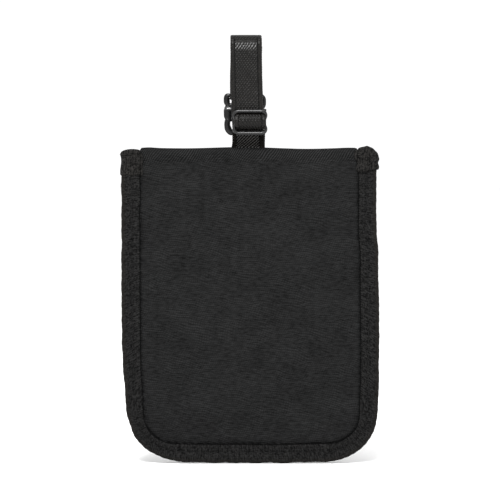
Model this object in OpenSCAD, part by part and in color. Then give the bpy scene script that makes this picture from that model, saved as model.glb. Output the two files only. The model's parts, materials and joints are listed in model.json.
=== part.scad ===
// Flat zipped pouch that hangs from a short adjustable loop of elastic webbing.
// Frame: X to the right, -Y towards the plain outer face, +Z up, all in millimetres.
// Origin: the inner top of the strap loop, half way between its two legs.

/* [Pouch] */
// Width of the pouch over its edge binding
pouch_w = 100; // [94:1:110]
// Height of the pouch from its top fold to its bottom edge
pouch_h = 122.2; // [110:0.1:140]
// Radius of the two bottom corners
corner_r = 24; // [18:1:30]
// Thickness of the outer fabric
fabric_t = 0.6; // [0.4:0.1:0.7]
// Outer radius of the fold along the top edge, half the thickness of the pouch
fold_r = 1.8; // [1.8:0.1:2.2]

/* [Edge binding] */
// Width of the binding tape on each face
binding_w = 7.4; // [6:0.1:9]
// Thickness of the binding tape
binding_t = 0.6; // [0.4:0.1:0.8]
// Inner radius of the binding at the bottom corners
binding_inner_r = 14; // [8:1:16]
// Distance of the stitch row from the outer edge
stitch_inset = 4.2; // [3:0.1:5]
// Width of the tape ends folded over the top corners
end_w = 9; // [7.5:0.1:10]
// Height of the tape end on the left corner
end_left_h = 10.6; // [8:0.1:12]
// Height of the tape end on the right corner
end_right_h = 9.2; // [8:0.1:12]

/* [Strap] */
// Width of the elastic webbing
strap_w = 12; // [10:0.5:14]
// Thickness of one layer of webbing
strap_t = 0.9; // [0.7:0.1:1]
// Inner radius of the loop's top fold, half the gap between its legs
loop_r = 2.5; // [2.5:0.1:3]
// Height of the loop above the pouch, to the outside of the top fold
loop_rise = 44.1; // [42:0.1:60]

/* [Adjuster] */
// Width of the adjuster frame
adjuster_w = 13.4; // [13.2:0.1:16]
// Height of the adjuster frame
adjuster_h = 9.9; // [9.5:0.1:11]
// Thickness of the adjuster frame
adjuster_t = 1.4; // [1.2:0.1:1.6]
// Distance from the pouch's top edge up to the adjuster
adjuster_lift = 5.1; // [4.5:0.1:8]

/* [Hook] */
// Width of the hook
hook_w = 16.2; // [15.8:0.1:18]
// Distance between the centres of the hook's top bar and its catch bar
hook_pitch = 14; // [13:0.1:15]
// Diameter of the hook's bars
hook_bar_d = 1.5; // [1.2:0.1:1.6]
// Sideways offset of the hook from the middle of the strap
hook_x = -1.75; // [-2:0.05:-1.5]

/* [Zip] */
// Depth of the zip's centre line below the pouch's top edge
zip_depth = 17.6; // [15:0.1:30]
// Height of the slot in the rear face that shows the zip
zip_window_h = 8; // [7.4:0.1:10]
// Width of each zip tape, from the chain's middle to its sewn edge
zip_tape_w = 9; // [8:0.5:12]
// Distance of the closed slider from the middle of the pouch
zip_rest_x = 36; // [20:1:37]
// Length of the pull, from its pin to its tip
pull_len = 20; // [14:1:26]

/* [Hidden] */
$fn = 64;

gap = 0.3;          // running clearance between pieces that move apart
big = 400;          // size of cutting boxes, larger than the pouch

// Strap heights and offsets
layer_gap = 0.1;                                     // air between the two strap layers
inner_r = loop_r + strap_t / 2;                      // middle of the inner layer
outer_r = inner_r + strap_t + layer_gap;             // middle of the outer layer
fold_z = -loop_r;                                    // axis of the loop's top fold
loop_top_z = fold_z + outer_r + strap_t / 2;
top_z = loop_top_z - loop_rise;                      // the pouch's top edge
hinge_z = top_z - fold_r;                            // axis of the top fold, where the pouch swings
strap_end_z = top_z + gap;                           // lowest point of the strap's sewn ends
end_stub = 0.6;                                      // straight length at each sewn end
tab_y = -0.5;                                        // where the tab enters the pouch
anchor_front_y = 0.75;                               // where the anchor's front strand enters
anchor_rear_y = 1.85;                                // where the anchor's rear strand enters
leg_break_z = top_z + 4.6;                           // where the front leg bends in to the pouch

// Hook heights
hook_r = hook_bar_d / 2;
hook_y = (inner_r + outer_r) / 2;                    // the hook hangs between the two layers
catch_z = top_z + 6.1;                               // axis of the catch bar
hook_top_z = catch_z + hook_pitch;                   // axis of the top bar
hook_mid_z = hook_top_z - 5.1;                       // axis of the middle bar
hook_left = hook_x - hook_w / 2;
hook_right = hook_x + hook_w / 2;
upper_inset = 0.4;                                   // the upper ring is this much narrower a side
bight_r = hook_r + 0.05 + strap_t / 2;               // webbing round the top bar
anchor_r = hook_r + gap + strap_t / 2;               // webbing over the catch bar

// Adjuster places
leg_front_y = -outer_r - strap_t / 2;                // front face of the front leg
adjuster_back_y = leg_front_y - gap;
adjuster_front_y = adjuster_back_y - adjuster_t;
adjuster_mid_y = (adjuster_back_y + adjuster_front_y) / 2;
adjuster_z = top_z + adjuster_lift + adjuster_h / 2;
adjuster_bar = 1.45;                                 // height of the top and bottom bars
adjuster_side = 0.95;                                // width of the side bars
centre_bar = 1.2;                                    // height of the centre bar

// Pouch layers, as distances from the middle plane
outer_in = fold_r - fabric_t;                        // inner face of the outer fabric
lining_t = 0.3;
tape_t = 0.5;
tape_in = outer_in - tape_t;                         // inner face of the zip tapes
bind_y = fold_r + binding_t;                         // outer face of the binding
end_y = bind_y + binding_t;                          // outer face of the folded tape ends
binding_top_z = top_z - 1.1;
thread_t = 0.15;
thread_w = 0.4;

// Zip places
zip_z = top_z - zip_depth;
chain_gap = 0.45;                                    // half the gap that the slider's post runs in
coil_w = 1.85;
coil_h = 1.3;
coil_len = pouch_w - 2 * binding_w - 0.4;
lining_rear_z = zip_z - 5.5;                         // top edge of the rear lining
slider_len = 7.6;
slider_plate = 0.7;
slider_flange = 0.8;
slider_top_y = outer_in + coil_h + gap + slider_plate;
slider_half_w = chain_gap + coil_w + gap + slider_flange;
pin_r = 0.5;
pin_y = slider_top_y + gap + pin_r;
arch_in = 2.2;                                       // half the inner length of the bridge
arch_post = 0.7;
arch_half_w = 0.7;
arm_in = arch_half_w + gap;
arm_out = arm_in + 0.8;

// ---------- drawing helpers ----------

// A flat shape drawn in X and Z, given the thickness from y0 to y1
module slab(y0, y1) {
    translate([0, y1, 0]) rotate([90, 0, 0]) linear_extrude(y1 - y0) children();
}

// Points along an arc in the Y-Z plane
function arc(c, r, a0, a1, n) = [for (i = [0 : n]) let (a = a0 + (a1 - a0) * i / n) c + r * [cos(a), sin(a)]];
function step_dir(p, i) = (p[i + 1] - p[i]) / norm(p[i + 1] - p[i]);
function side_at(p, i) =
    let (last = len(p) - 1,
         a = step_dir(p, max(i - 1, 0)),
         b = step_dir(p, min(i, last - 1)),
         m = (a + b) / norm(a + b))
    [-m[1], m[0]] / (m * b);
function thick(p, t) = concat(
    [for (i = [0 : len(p) - 1]) p[i] + side_at(p, i) * t / 2],
    [for (i = [len(p) - 1 : -1 : 0]) p[i] - side_at(p, i) * t / 2]);

// Webbing of thickness t and width w, centred on x, that follows a path in the Y-Z plane
module webbing(path, t, w, x = 0) {
    translate([x - w / 2, 0, 0]) rotate([90, 0, 90]) linear_extrude(w) polygon(thick(path, t));
}

// Rectangle with round corners, between two corners in X and Z
module round_box(x0, x1, z0, z1, r) {
    for (x = [x0 + r, x1 - r], z = [z0 + r, z1 - r]) translate([x, z]) circle(r);
    translate([x0 + r, z0]) square([x1 - x0 - 2 * r, z1 - z0]);
    translate([x0, z0 + r]) square([x1 - x0, z1 - z0 - 2 * r]);
}

// The pouch's outline pulled in by a margin, with its own corner radius, up to z_up
module outline(inset, r, z_up) {
    half = pouch_w / 2 - inset;
    low = top_z - pouch_h + inset;
    translate([-half, low + r]) square([2 * half, z_up - low - r]);
    translate([-half + r, low]) square([2 * (half - r), r]);
    for (x = [-half + r, half - r]) translate([x, low + r]) circle(r);
}

module pocket_outline(z_up) outline(binding_t, corner_r - binding_t, z_up);

// Bar along X
module bar_x(x0, x1, y, z, r) {
    translate([x0, y, z]) rotate([0, 90, 0]) cylinder(r = r, h = x1 - x0);
}

// ---------- strap ----------

module strap_outer_layer() color("#2f2c2d")
    webbing(concat([[tab_y, strap_end_z], [tab_y, strap_end_z + end_stub], [-outer_r, leg_break_z]],
                   arc([0, fold_z], outer_r, 180, 0, 24)), strap_t, strap_w);

module strap_inner_layer() color("#2f2c2d")
    webbing(concat([[-inner_r, leg_break_z + 0.8]], arc([0, fold_z], inner_r, 180, 0, 24)), strap_t, strap_w);

// The rear leg comes down in line with the hook, turns under its top bar and goes back up
module strap_rear_leg() color("#2f2c2d") {
    start = fold_z - gap;
    spread_z = hook_top_z + 4;
    webbing(concat([[outer_r, start], [outer_r, spread_z]],
                   arc([hook_y, hook_top_z], bight_r, 0, -180, 16),
                   [[inner_r, spread_z], [inner_r, start]]), strap_t, strap_w, hook_x);
}

module anchor_loop() color("#2f2c2d")
    webbing(concat([[anchor_front_y, strap_end_z], [anchor_front_y, strap_end_z + end_stub]],
                   arc([hook_y, catch_z], anchor_r, 180, 0, 16),
                   [[anchor_rear_y, strap_end_z + end_stub], [anchor_rear_y, strap_end_z]]),
            strap_t, strap_w);

// Closed upper ring for the webbing, and an open lower bar that slides out of the anchor loop
module strap_hook() color("#1c1b1d") {
    bar = hook_bar_d;
    corner = 2.4;
    upper_corner = 1.6;
    window_corner = 0.9;
    nub = 1.45;                                      // length of the nub that guards the mouth
    inset_r = hook_r - 0.02;                         // the round top bar stays inside its square ends
    bite = 0.2;                                      // how far the round top bar runs into them
    upper_l = hook_left + upper_inset;
    upper_r = hook_right - upper_inset;
    round_l = upper_l + upper_corner;                // the top bar is round between these two
    round_r = upper_r - upper_corner;
    spine = hook_left + bar + 1;                     // where the catch bar leaves the spine
    difference() {
        slab(hook_y - hook_r, hook_y + hook_r) difference() {
            union() {
                round_box(upper_l, upper_r, hook_mid_z - hook_r, hook_top_z + hook_r, upper_corner);
                round_box(hook_left, hook_right, catch_z - hook_r, hook_mid_z + hook_r, corner);
            }
            round_box(upper_l + bar, upper_r - bar, hook_mid_z + hook_r, hook_top_z - hook_r, window_corner);
            round_box(hook_left + bar, hook_right - bar, catch_z + hook_r, hook_mid_z - hook_r, window_corner);
            translate([spine, catch_z - bar]) square([hook_w, hook_mid_z - catch_z + hook_r - nub]);
        }
        translate([round_l, 0, hook_top_z - hook_r - window_corner])
            cube([round_r - round_l, hook_y + bar, 2 * bar + window_corner]);
    }
    bar_x(round_l - bite, round_r + bite, hook_y, hook_top_z, inset_r);
    bar_x(spine, hook_right - hook_r, hook_y, catch_z, hook_r);
    translate([hook_right - hook_r, hook_y, catch_z]) sphere(hook_r);
}

// ---------- adjuster ----------

module adjuster_slider() color("#232324")
    slab(adjuster_front_y, adjuster_back_y) {
        half_w = adjuster_w / 2;
        half_h = adjuster_h / 2;
        difference() {
            round_box(-half_w, half_w, adjuster_z - half_h, adjuster_z + half_h, 2.4);
            round_box(-half_w + adjuster_side, half_w - adjuster_side,
                      adjuster_z - half_h + adjuster_bar, adjuster_z + half_h - adjuster_bar, 1.4);
            for (s = [-1, 1]) translate([s * (half_w + 0.35), adjuster_z]) circle(0.7);
        }
        translate([-half_w + adjuster_side / 2, adjuster_z - centre_bar / 2])
            square([adjuster_w - adjuster_side, centre_bar]);
    }

// The strap's sewn end, folded round the front of the centre bar
module adjuster_end_fold() color("#2f2c2d") {
    t = 0.5;
    side_z = centre_bar / 2 + 0.05 + t / 2;
    front_y = adjuster_front_y - 0.05 - t / 2;
    webbing([[adjuster_back_y, adjuster_z + side_z], [front_y, adjuster_z + side_z],
             [front_y, adjuster_z - side_z], [adjuster_back_y, adjuster_z - side_z]], t, 11);
}

// The strap where it passes over the centre bar
module adjuster_bight() color("#2f2c2d") {
    t = 0.8;
    r = 2.2;
    webbing(concat([[adjuster_back_y, adjuster_z + r]],
                   arc([adjuster_mid_y, adjuster_z], r, 90, 270, 16),
                   [[adjuster_back_y, adjuster_z - r]]), t, 11.2);
}

// ---------- pouch ----------

// Plain face, folded over the top edge and down to the zip on the rear face
module front_panel() color("#26262a") {
    span = pouch_w - 2 * binding_t;
    slab(-fold_r, -outer_in) pocket_outline(hinge_z);
    difference() {
        bar_x(-span / 2, span / 2, 0, hinge_z, fold_r);
        bar_x(-span, span, 0, hinge_z, outer_in);
        translate([-big / 2, -big / 2, hinge_z - big]) cube(big);
    }
    slab(outer_in, fold_r) translate([-span / 2, zip_z + zip_window_h / 2])
        square([span, hinge_z - zip_z - zip_window_h / 2]);
}

module rear_panel() color("#26262a")
    slab(outer_in, fold_r) pocket_outline(zip_z - zip_window_h / 2);

// Inner pocket: a full front sheet, a rear sheet up to the zip, and sewn edges between them
module pocket_lining() color("#3a3a3f") {
    slab(-outer_in, -outer_in + lining_t) pocket_outline(hinge_z);
    slab(tape_in - lining_t, tape_in) pocket_outline(lining_rear_z);
    seam = 1.6;
    slab(-outer_in + lining_t, tape_in - lining_t) difference() {
        pocket_outline(lining_rear_z);
        outline(binding_t + seam, corner_r - binding_t - seam, lining_rear_z + 1);
    }
}

// Tape folded round both sides and the bottom
module edge_binding() color("#211e1f")
    difference() {
        slab(-bind_y, bind_y) difference() {
            outline(0, corner_r, binding_top_z);
            outline(binding_w, binding_inner_r, top_z + 1);
        }
        slab(-fold_r, fold_r) outline(binding_t, corner_r - binding_t, top_z + 1);
    }

// Tape end folded over a top corner; side is -1 on the left and 1 on the right
module binding_end(side, h) {
    proud = 0.4;
    x_mid = side * (pouch_w / 2 + proud - end_w / 2);
    difference() {
        translate([x_mid - end_w / 2, -end_y, top_z - h]) cube([end_w, 2 * end_y, h + binding_t]);
        translate([x_mid - end_w, -bind_y, top_z - h - 1]) cube([2 * end_w, 2 * bind_y, h + 1]);
    }
}

module binding_end_left() color("#211e1f") binding_end(-1, end_left_h);
module binding_end_right() color("#211e1f") binding_end(1, end_right_h);

// One row of thread on each face of the binding
module binding_stitching() color("#151314")
    for (y = [-bind_y - thread_t, bind_y])
        slab(y, y + thread_t) difference() {
            z_up = top_z - max(end_left_h, end_right_h) - gap;
            outline(stitch_inset - thread_w / 2, corner_r - stitch_inset + thread_w / 2, z_up);
            outline(stitch_inset + thread_w / 2, corner_r - stitch_inset - thread_w / 2, z_up + 1);
        }

// ---------- zip ----------

// One tape; side is 1 above the chain and -1 below it
module zip_tape(side) {
    span = pouch_w - 2 * binding_t;
    translate([-span / 2, tape_in, min(zip_z + side * chain_gap, zip_z + side * zip_tape_w)])
        cube([span, tape_t, zip_tape_w - chain_gap]);
}

module zip_tape_upper() color("#1d1d1f") zip_tape(1);
module zip_tape_lower() color("#1d1d1f") zip_tape(-1);

// One half of the chain, a rounded bar
module zip_coil(side) {
    r = coil_h / 2;
    near_z = zip_z + side * (chain_gap + r);
    far_z = zip_z + side * (chain_gap + coil_w - r);
    for (z = [near_z, far_z]) bar_x(-coil_len / 2, coil_len / 2, outer_in + r, z, r);
    translate([-coil_len / 2, outer_in, min(near_z, far_z)]) cube([coil_len, coil_h, abs(far_z - near_z)]);
}

module zip_coil_upper() color("#141416") zip_coil(1);
module zip_coil_lower() color("#141416") zip_coil(-1);

// One row of thread above and one below the zip
module zip_stitching() color("#151314") {
    hem = 1.6;
    for (z = [zip_z + zip_window_h / 2 + hem, zip_z - zip_window_h / 2 - hem])
        translate([-coil_len / 2, fold_r, z - thread_w / 2]) cube([coil_len, thread_t, thread_w]);
}

// Two plates joined by a post that runs between the halves of the chain, with a bridge on top
module zip_slider_body() color("#2b2b2e") translate([zip_rest_x, 0, zip_z]) {
    plate_y = slider_top_y - slider_plate;
    lower_y = tape_in - gap;
    lower_t = 1;
    post = [2.4, slider_top_y - lower_y, 0.5];
    translate([-slider_len / 2, plate_y, -slider_half_w]) cube([slider_len, slider_plate, 2 * slider_half_w]);
    for (z = [-slider_half_w, slider_half_w - slider_flange])
        translate([-slider_len / 2, outer_in + gap, z]) cube([slider_len, plate_y - outer_in - gap, slider_flange]);
    translate([-slider_len / 2, lower_y - lower_t, -3]) cube([slider_len, lower_t, 6]);
    translate([slider_len / 2 - post[0], lower_y, -post[2] / 2]) cube(post);
    bridge_h = 2 * (pin_r + gap);
    for (x = [-arch_in - arch_post, arch_in])
        translate([x, slider_top_y, -arch_half_w]) cube([arch_post, bridge_h, 2 * arch_half_w]);
    translate([-arch_in - arch_post, slider_top_y + bridge_h, -arch_half_w])
        cube([2 * (arch_in + arch_post), arch_post, 2 * arch_half_w]);
}

// Pull with a pin under the slider's bridge and an arm on each side of it
module zip_pull_tab() color("#2b2b2e") translate([zip_rest_x, pin_y, zip_z]) {
    reach = arch_in + arch_post + 0.7;
    tip_r = 3;
    translate([0, 0, -arm_out]) cylinder(r = pin_r, h = 2 * arm_out);
    for (z = [-arm_out, arm_in]) translate([-reach, -pin_r, z]) cube([reach, 2 * pin_r, arm_out - arm_in]);
    slab(-pin_r, pin_r) difference() {
        union() {
            translate([-pull_len + tip_r, -tip_r]) square([pull_len - tip_r - reach, 2 * tip_r]);
            translate([-pull_len + tip_r, 0]) circle(tip_r);
        }
        translate([-pull_len + tip_r, 0]) circle(1.4);
    }
}

strap_outer_layer();
strap_inner_layer();
strap_rear_leg();
anchor_loop();
strap_hook();
adjuster_slider();
adjuster_bight();
adjuster_end_fold();
front_panel();
rear_panel();
pocket_lining();
edge_binding();
binding_end_left();
binding_end_right();
binding_stitching();
zip_tape_upper();
zip_tape_lower();
zip_coil_upper();
zip_coil_lower();
zip_stitching();
zip_slider_body();
zip_pull_tab();
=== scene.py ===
"""Looks of a flat zipped pouch that hangs from a short adjustable loop of elastic webbing.

Lengths in the builders below are millimetres in the row frame. MM turns them into metres.
"""
import json
import math

import bpy
import numpy as np
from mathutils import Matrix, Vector, noise


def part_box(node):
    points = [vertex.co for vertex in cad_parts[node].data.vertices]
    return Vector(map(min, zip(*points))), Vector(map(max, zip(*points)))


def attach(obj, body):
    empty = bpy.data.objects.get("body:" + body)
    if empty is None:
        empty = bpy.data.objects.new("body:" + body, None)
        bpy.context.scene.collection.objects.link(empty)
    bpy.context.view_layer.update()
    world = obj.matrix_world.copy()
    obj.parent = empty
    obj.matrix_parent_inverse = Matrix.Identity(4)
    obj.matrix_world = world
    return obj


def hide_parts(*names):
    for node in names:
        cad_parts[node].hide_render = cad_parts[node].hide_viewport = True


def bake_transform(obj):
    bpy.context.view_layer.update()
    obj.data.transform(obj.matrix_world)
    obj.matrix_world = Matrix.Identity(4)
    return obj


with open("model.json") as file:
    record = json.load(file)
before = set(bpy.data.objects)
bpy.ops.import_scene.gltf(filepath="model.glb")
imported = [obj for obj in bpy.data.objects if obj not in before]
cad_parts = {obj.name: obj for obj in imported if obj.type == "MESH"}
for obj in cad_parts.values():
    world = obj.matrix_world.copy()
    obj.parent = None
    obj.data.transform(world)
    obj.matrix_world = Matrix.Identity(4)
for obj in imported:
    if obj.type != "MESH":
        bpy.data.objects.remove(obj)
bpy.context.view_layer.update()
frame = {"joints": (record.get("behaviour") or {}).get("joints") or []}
MM = 0.001
PI = math.pi


# ---------- places taken from the frame ----------

def box_mm(node):
    """Lowest and highest corner of a CAD node."""
    return np.array(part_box(node)) / MM


binding_low, binding_high = box_mm("edge_binding")
HALF_W, BIND_Y, BIND_TOP = binding_high - (0, 0, 0.3)  # half width, outer face and sewn top
BOTTOM = binding_low[2]
_, FOLD_R, TOP = box_mm("front_panel")[1]  # FOLD_R is half the pouch's thickness
HINGE_Z = TOP - FOLD_R
TAPE_W = 7.4  # binding tape on each face
PANEL_IN = 2.2  # the cloth ends this far inside the outer edge

tape_up_low, tape_up_high = box_mm("zip_tape_upper")
coil_up_low, coil_up_high = box_mm("zip_coil_upper")
ZIP_Z = (box_mm("zip_coil_lower")[1][2] + coil_up_low[2]) / 2
TAPE_Y = tape_up_high[1]  # outer face of the zip tapes
TAPE_IN_Y = tape_up_low[1]
REAR_BAND_Z = ZIP_Z + 4.0  # lower edge of the band above the zip
REAR_PANEL_Z = ZIP_Z - 4.0  # upper edge of the rear panel

outer_low, outer_high = box_mm("strap_outer_layer")
inner_high = box_mm("strap_inner_layer")[1]
LAYER_GAP = 0.1
STRAP_T = outer_high[2] - inner_high[2] - LAYER_GAP
STRAP_W = outer_high[0] - outer_low[0]
OUTER_R = outer_high[1] - STRAP_T / 2  # the layers' middles, from the loop's axis
INNER_R = inner_high[1] - STRAP_T / 2
FOLD_SAG = 0.45
FOLD_Z = inner_high[2] - inner_high[1] - FOLD_SAG  # axis of the loop's top fold

hook_low, hook_high = box_mm("strap_hook")
HOOK_BAR = (hook_high[1] - hook_low[1]) / 2
REAR_X, HOOK_Y = (hook_high[:2] + hook_low[:2]) / 2  # the rear leg hangs from the hook's middle
HOOK_TOP = hook_high[2] - HOOK_BAR  # axis of the top bar
CATCH_Z = hook_low[2] + HOOK_BAR  # axis of the catch bar
HOOK_MID = HOOK_TOP - 5.1  # axis of the middle bar

adj_low, adj_high = box_mm("adjuster_slider")
ADJ_Z = (adj_low[2] + adj_high[2]) / 2
HALF_ADJ_W, HALF_ADJ_H = (adj_high - adj_low)[::2] / 2
ADJ_BACK, ADJ_FRONT = adj_high[1], adj_low[1]

slider_low, slider_high = box_mm("zip_slider_body")
SLIDER_X = (slider_low[0] + slider_high[0]) / 2
SLIDER_AT = np.array([SLIDER_X, ZIP_Z])  # its middle in X and Z
pull_joint = next(j for j in frame["joints"] if j["name"] == "zip_pull_flip")
PIN_Y = pull_joint["pos_m"][1] / MM
ACROSS, OUTWARD, UPWARD = np.eye(3)


# ---------- mesh helpers ----------

def smooth(x):
    x = np.clip(x, 0, 1)
    return x * x * (3 - 2 * x)


def bump(x, centre, width):
    return np.exp(-((x - centre) / width) ** 2)


def power(x, exponent):
    """A power that keeps the sign: it squares off a sine or cosine."""
    return np.sign(x) * np.abs(x) ** exponent


def noise_at(x, y, z):
    """Smooth noise at points, with waves about 1 long. Each coordinate is an array or one number."""
    x, y, z = np.broadcast_arrays(x, y, z)
    return np.reshape([noise.noise(Vector(p)) for p in zip(x.flat, y.flat, z.flat)], x.shape)


def wobble(x, y, size, seed):
    """Smooth noise between about -1 and 1, with waves about size long."""
    return noise_at(x / size, y / size, seed * 7.3) * 2


def xyz(x, y, z):
    """Points from their coordinates, each an array or one number for all."""
    return np.stack(np.broadcast_arrays(x, y, z), -1).astype(float)


def lengths(line):
    """Distance along a line from its first point to each point."""
    return np.concatenate([[0], np.cumsum(np.linalg.norm(np.diff(line, axis=0), axis=1))])


def unit(vectors):
    return vectors / np.maximum(np.linalg.norm(vectors, axis=-1, keepdims=True), 1e-9)


def add_object(name, data):
    obj = bpy.data.objects.new(name, data)
    bpy.context.scene.collection.objects.link(obj)
    return obj


def piece(name, parts, material, node, body="pouch"):
    """A mesh that stands for a CAD node.

    Each part is its points in mm, its faces, and one uv pair for each corner of each face.
    """
    points, faces, uv = [], [], []
    for part_points, part_faces, part_uv in parts:
        faces += [tuple(len(points) + i for i in face) for face in part_faces]
        points += (np.reshape(part_points, (-1, 3)) * MM).tolist()
        uv += part_uv
    mesh = bpy.data.meshes.new(name)
    mesh.from_pydata(points, [], faces)
    mesh.uv_layers.new(name="cloth").data.foreach_set("uv", np.array(uv, np.float32).ravel())
    mesh.polygons.foreach_set("use_smooth", [True] * len(faces))
    mesh.materials.append(material)
    mesh.update()
    obj = add_object(name, mesh)
    if body:
        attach(obj, body)
    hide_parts(node)
    return obj


def grid_faces(rows, cols, wrap=False):
    """Quads of a grid of rows x cols points; with wrap, the last column joins the first."""
    out = []
    for i in range(rows - 1):
        for j in range(cols if wrap else cols - 1):
            k = (j + 1) % cols
            out.append((i * cols + j, i * cols + k, (i + 1) * cols + k, (i + 1) * cols + j))
    return out


def loft(rings, uv_v, ring_u=None, closed=False):
    """Points, faces and uvs of a tube through closed rings; uv_v is one value for each ring.

    With closed, the last ring repeats the first and is welded to it. Otherwise both ends are capped.
    """
    rings = np.asarray(rings, float)
    n, m = rings.shape[:2]
    if ring_u is None:
        ring_u = lengths(np.vstack([rings[0], rings[0][:1]]))
    points = rings.reshape(-1, 3)
    faces = grid_faces(n, m, True)
    uv = []
    for i in range(n - 1):
        for a, b in zip(ring_u[:m], ring_u[1:]):
            uv += [(a, uv_v[i]), (b, uv_v[i]), (b, uv_v[i + 1]), (a, uv_v[i + 1])]
    if closed:
        last = (n - 1) * m
        faces = [tuple(i - last if i >= last else i for i in f) for f in faces]
        return points[:last], faces, uv
    for i, order in ((0, -1), (n - 1, 1)):
        ids = list(range(i * m, i * m + m))[::order]
        faces.append(tuple(ids))
        uv += [(ring_u[k % m], uv_v[i]) for k in ids]
    return points, faces, uv


def frames_along(path, ref):
    """Side and up vectors along a path, with ref the rough up direction."""
    t = unit(np.gradient(path, axis=0))
    side = unit(np.cross(t, np.asarray(ref, float)))
    return side, np.cross(side, t)


def tube(path, ra, rb, ref=OUTWARD, sides=12, closed=False):
    """Tube along a path. ra is its radius across ref and rb along it: one number or one per point."""
    path = np.asarray(path, float)
    if closed:
        side, up = (v[2:-2] for v in frames_along(np.vstack([path[-2:], path, path[:2]]), ref))
    else:
        side, up = frames_along(path, ref)
    ra, rb = (np.broadcast_to(r, len(path))[:, None] for r in (ra, rb))
    turn = np.linspace(0, 2 * PI, sides, endpoint=False)
    rings = (path[:, None] + side[:, None] * (ra * np.cos(turn))[..., None]
             + up[:, None] * (rb * np.sin(turn))[..., None])
    if closed:
        path = np.vstack([path, path[:1]])
        rings = np.vstack([rings, rings[:1]])
    return loft(rings, lengths(path), closed=closed)


def read_line(line, along, at):
    """Points of a line at given places, where along is the place of each of its own points."""
    return np.stack([np.interp(at, along, column) for column in line.T], axis=1)


def resample(line, step):
    along = lengths(line)
    at = np.linspace(0, along[-1], max(3, int(round(along[-1] / step)) + 1))
    return read_line(line, along, at)


def spline(points, step=0.35):
    """A smooth curve through given points, resampled about step apart."""
    p = np.asarray(points, float)
    p = np.vstack([2 * p[0] - p[1], p, 2 * p[-1] - p[-2]])
    out = []
    for a, b, c, d in zip(p[:-3], p[1:-2], p[2:-1], p[3:]):
        count = max(2, int(np.linalg.norm(c - b) / step * 2))
        for t in np.arange(count) / count:
            out.append(0.5 * (2 * b + (c - a) * t + (2 * a - 5 * b + 4 * c - d) * t * t
                              + (3 * b - a - 3 * c + d) * t ** 3))
    out.append(p[-2])
    return resample(np.array(out), step)


def smooth_outline(points, step=0.35):
    """Closed outline through given corners, rounded by one spline."""
    p = np.asarray(points, float)
    return spline(np.vstack([p, p[:1]]), step)[:-1]


def arc(centre, r, a0, a1, count):
    a = np.radians(np.linspace(a0, a1, count))
    return np.stack([centre[0] + r * np.cos(a), centre[1] + r * np.sin(a)], axis=1)


# ---------- materials ----------

def add_node(tree, kind, inputs, output=0, **settings):
    """Adds a node, and sets its inputs or links signals to them. Returns one of its outputs."""
    node = tree.nodes.new(kind)
    for key, value in settings.items():
        setattr(node, key, value)
    for key, value in inputs.items():
        if isinstance(value, Signal):
            tree.links.new(value.socket, node.inputs[key])
        else:
            node.inputs[key].default_value = value
    return Signal(tree, node.outputs[output])


class Signal:
    """A value that varies over a surface. Sums and products of signals add nodes to its material."""

    def __init__(self, tree, socket):
        self.tree, self.socket = tree, socket

    def math(self, operation, *values):
        return add_node(self.tree, "ShaderNodeMath", dict(enumerate(values)), operation=operation)

    def __add__(self, other):
        return self.math("ADD", self, other)

    def __sub__(self, other):
        return self.math("SUBTRACT", self, other)

    def __rsub__(self, other):
        return self.math("SUBTRACT", other, self)

    def __mul__(self, other):
        return self.math("MULTIPLY", self, other)

    def __abs__(self):
        return self.math("ABSOLUTE", self)

    def positive(self):
        return self.math("MAXIMUM", self, 0.0)

    def over(self, limit):
        """1 above the limit and 0 below it."""
        return self.math("GREATER_THAN", self, limit)

    def wave(self, pitch):
        """0 to 1 and back once every pitch."""
        return self.math("SINE", self * (2 * PI / pitch)) * 0.5 + 0.5

    def near(self, centre, falloff):
        """1 at the centre, less by falloff for each mm away from it, and never below 0."""
        return (1.0 - abs(self - centre) * falloff).positive()


class Shade:
    """A principled material. Its u and v are the piece's uvs, in mm across and along the cloth."""

    def __init__(self, name, roughness, specular):
        self.mat = bpy.data.materials.new(name)
        self.mat.use_nodes = True
        self.tree = self.mat.node_tree
        self.inputs = self.tree.nodes["Principled BSDF"].inputs
        self.inputs["Roughness"].default_value = roughness
        self.inputs["Specular IOR Level"].default_value = specular
        self.uv = self.add("UVMap", {}, uv_map="cloth")
        self.u, self.v = (self.add("SeparateXYZ", {0: self.uv}, output) for output in (0, 1))

    def add(self, kind, inputs, output=0, **settings):
        return add_node(self.tree, "ShaderNode" + kind, inputs, output, **settings)

    def feed(self, socket, signal):
        self.tree.links.new(signal.socket, self.inputs[socket])

    def noise(self, scale, detail=3, stretch=(1, 1, 1), rough=0.55):
        at = self.add("Mapping", {"Vector": self.uv, "Scale": stretch})
        return self.add("TexNoise", {"Vector": at, "Scale": scale, "Detail": detail, "Roughness": rough})

    def colour(self, factor, dark, light):
        """Mixes two colours. dark may be an earlier mix."""
        mixed = self.add("Mix", {0: factor, 6: dark, 7: light}, 2, data_type="RGBA")
        self.feed("Base Color", mixed)
        return mixed

    def rough(self, factor, low, high):
        self.feed("Roughness", self.add("MapRange", {"Value": factor, "To Min": low, "To Max": high}))

    def bump(self, height, depth_mm):
        self.feed("Normal", self.add("Bump", {"Height": height, "Distance": depth_mm * MM}))


def grey(value, warm=0.0):
    return (value * (1 + warm), value, value * (1 - warm), 1)


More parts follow.
